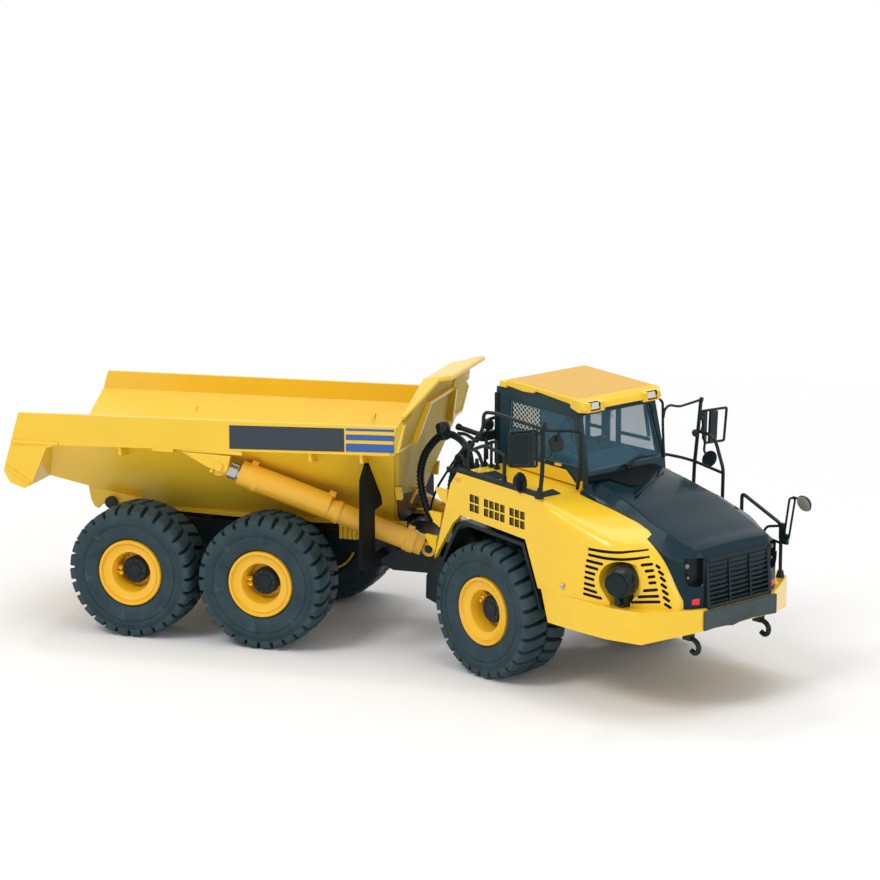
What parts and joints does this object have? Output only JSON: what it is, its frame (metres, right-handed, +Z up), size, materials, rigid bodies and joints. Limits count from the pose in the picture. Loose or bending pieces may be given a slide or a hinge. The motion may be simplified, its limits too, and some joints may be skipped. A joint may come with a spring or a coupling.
{
  "type": "articulated dump truck scale model",
  "caption": "Die-cast scale model of a six-wheel articulated dump truck with hinged steering, tipping body and telescopic hoist cylinders.",
  "frame": {"origin": "middle of the model's footprint on the ground, with the front unit steered as it stands", "axes": "+X forward along the rear frame, +Y to its left, +Z up"},
  "size_m": [0.229, 0.0986, 0.0783],
  "materials": {
    "black_plastic": "satin moulded plastic",
    "body_yellow": "semi-gloss sprayed enamel",
    "bonnet_charcoal": "semi-gloss charcoal plastic",
    "chassis_black": "satin black paint",
    "glass": "tinted clear plastic",
    "lamp": "clear moulded lens",
    "plate_grey": "matt dark grey plastic",
    "rim_yellow": "semi-gloss sprayed enamel",
    "steel": "bare machined steel",
    "tyre": "matt soft vinyl rubber",
    "yellow_paint": "semi-gloss sprayed enamel"
  },
  "bodies": {
    "rear_frame": {"bogie_beams": "chassis_black", "dump_hinge_pin": "chassis_black", "hoist_crossbar": "chassis_black", "middle_axle": "chassis_black", "mudguard_plates": "black_plastic", "rear_axle": "chassis_black", "rear_frame": "chassis_black"},
    "hitch": {"hitch_yoke": "chassis_black"},
    "front_unit": {"bonnet": "bonnet_charcoal", "bumper": "yellow_paint", "bumper_plate": "plate_grey", "cab_roof": "yellow_paint", "cab_shell": "black_plastic", "cab_sills": "yellow_paint", "cab_windows": "glass", "dashboard": "black_plastic", "deck_hoses": "yellow_paint", "engine_bay": "black_plastic", "fender_left": "yellow_paint", "fender_right": "yellow_paint", "front_axle": "chassis_black", "front_frame": "chassis_black", "front_rail": "black_plastic", "grille": "black_plastic", "handrail_left": "black_plastic", "handrail_right": "black_plastic", "headlamps": "lamp", "mirror_left": "black_plastic", "mirror_right": "black_plastic", "seat": "black_plastic", "side_cover": "black_plastic", "steering_wheel": "black_plastic", "tow_hooks": "black_plastic", "wheel_arches": "black_plastic"},
    "dump_body": {"body_brackets": "body_yellow", "body_floor": "body_yellow", "body_front_wall": "body_yellow", "body_hood": "body_yellow", "body_side_left": "body_yellow", "body_side_right": "body_yellow"},
    "hoist_barrel_left": {"hoist_barrel_left": "body_yellow"},
    "hoist_barrel_right": {"hoist_barrel_right": "body_yellow"},
    "hoist_rod_left": {"hoist_rod_left": "steel"},
    "hoist_rod_right": {"hoist_rod_right": "steel"},
    "wheel_rear_left": {"rim_rear_left": "rim_yellow", "tyre_rear_left": "tyre"},
    "wheel_rear_right": {"rim_rear_right": "rim_yellow", "tyre_rear_right": "tyre"},
    "wheel_middle_left": {"rim_middle_left": "rim_yellow", "tyre_middle_left": "tyre"},
    "wheel_middle_right": {"rim_middle_right": "rim_yellow", "tyre_middle_right": "tyre"},
    "wheel_front_left": {"rim_front_left": "rim_yellow", "tyre_front_left": "tyre"},
    "wheel_front_right": {"rim_front_right": "rim_yellow", "tyre_front_right": "tyre"}
  },
  "joints": [
    {"name": "hitch_roll", "type": "hinge", "parent": "rear_frame", "child": "hitch", "pos_m": [0.01586, 0.01481, 0.024], "axis": [1, 0, 0], "range_deg": [-8, 8]},
    {"name": "steering", "type": "hinge", "parent": "hitch", "child": "front_unit", "pos_m": [0.02886, 0.01481, 0.024], "axis": [0, 0, 1], "range_deg": [-6.2, 65.8]},
    {"name": "dump_tip", "type": "hinge", "parent": "rear_frame", "child": "dump_body", "pos_m": [-0.08814, 0.01481, 0.034], "axis": [0, -1, 0], "range_deg": [0, 70]},
    {"name": "wheel_rear_left_roll", "type": "hinge", "parent": "rear_frame", "child": "wheel_rear_left", "pos_m": [-0.07474, 0.04171, 0.0187], "axis": [0, 1, 0], "continuous": true},
    {"name": "wheel_rear_right_roll", "type": "hinge", "parent": "rear_frame", "child": "wheel_rear_right", "pos_m": [-0.07474, -0.01209, 0.0187], "axis": [0, 1, 0], "continuous": true},
    {"name": "wheel_middle_left_roll", "type": "hinge", "parent": "rear_frame", "child": "wheel_middle_left", "pos_m": [-0.03534, 0.04171, 0.0187], "axis": [0, 1, 0], "continuous": true},
    {"name": "wheel_middle_right_roll", "type": "hinge", "parent": "rear_frame", "child": "wheel_middle_right", "pos_m": [-0.03534, -0.01209, 0.0187], "axis": [0, 1, 0], "continuous": true},
    {"name": "wheel_front_left_roll", "type": "hinge", "parent": "front_unit", "child": "wheel_front_left", "pos_m": [0.06201, 0.02682, 0.0187], "axis": [0.497, 0.8678, 0], "continuous": true},
    {"name": "wheel_front_right_roll", "type": "hinge", "parent": "front_unit", "child": "wheel_front_right", "pos_m": [0.03528, -0.01986, 0.0187], "axis": [0.497, 0.8678, 0], "continuous": true},
    {"name": "hoist_swing_left", "type": "hinge", "parent": "rear_frame", "child": "hoist_barrel_left", "pos_m": [0.00816, 0.02881, 0.028], "axis": [0.4003, 0.6748, 0.62], "range_deg": [0, 7.5]},
    {"name": "hoist_extend_left", "type": "slide", "parent": "hoist_barrel_left", "child": "hoist_rod_left", "axis": [-0.9106, 0.2173, 0.3515], "range_m": [0, 0.04756]},
    {"name": "hoist_swing_right", "type": "hinge", "parent": "rear_frame", "child": "hoist_barrel_right", "pos_m": [0.00816, 0.00081, 0.028], "axis": [-0.4003, 0.6748, -0.62], "range_deg": [0, 7.5]},
    {"name": "hoist_extend_right", "type": "slide", "parent": "hoist_barrel_right", "child": "hoist_rod_right", "axis": [-0.9106, -0.2173, 0.3515], "range_m": [0, 0.04756]}
  ],
  "couplings": [
    {"joint": "hoist_swing_left", "follows": "dump_tip", "ratio": 0.10689},
    {"joint": "hoist_extend_left", "follows": "dump_tip", "m_per_rad": 0.038843},
    {"joint": "hoist_swing_right", "follows": "dump_tip", "ratio": 0.10689},
    {"joint": "hoist_extend_right", "follows": "dump_tip", "m_per_rad": 0.038843}
  ]
}
